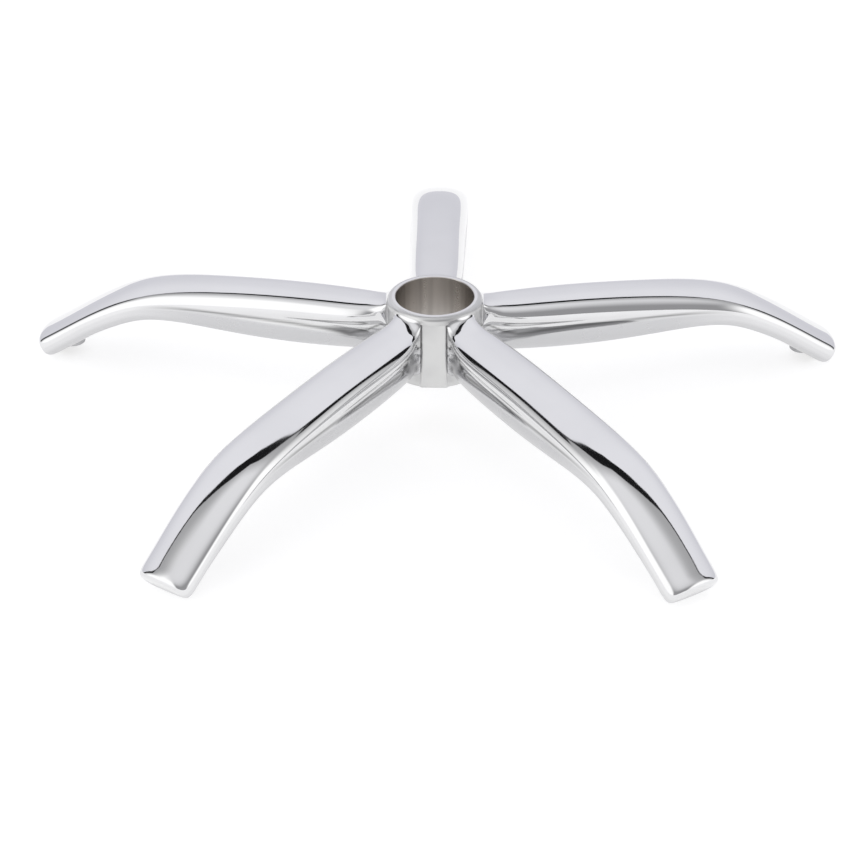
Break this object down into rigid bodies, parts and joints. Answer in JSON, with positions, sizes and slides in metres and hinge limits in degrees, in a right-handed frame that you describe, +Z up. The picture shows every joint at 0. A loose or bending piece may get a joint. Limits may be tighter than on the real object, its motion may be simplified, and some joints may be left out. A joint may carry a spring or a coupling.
{
  "type": "office chair five star base",
  "caption": "Polished cast metal chair base: a tapered hub with a raised rim and swan shaped arms that slope down to blunt tips with caster sockets.",
  "frame": {"origin": "the gauge plane on the hub bore's axis, where its cylindrical mouth meets the taper", "axes": "+Z up along the hub bore, +Y along the first arm"},
  "size_m": [0.5262, 0.5024, 0.0867],
  "materials": {
    "polished_casting": "polished"
  },
  "bodies": {
    "root": {"five_star_base": "polished_casting"}
  },
  "joints": []
}
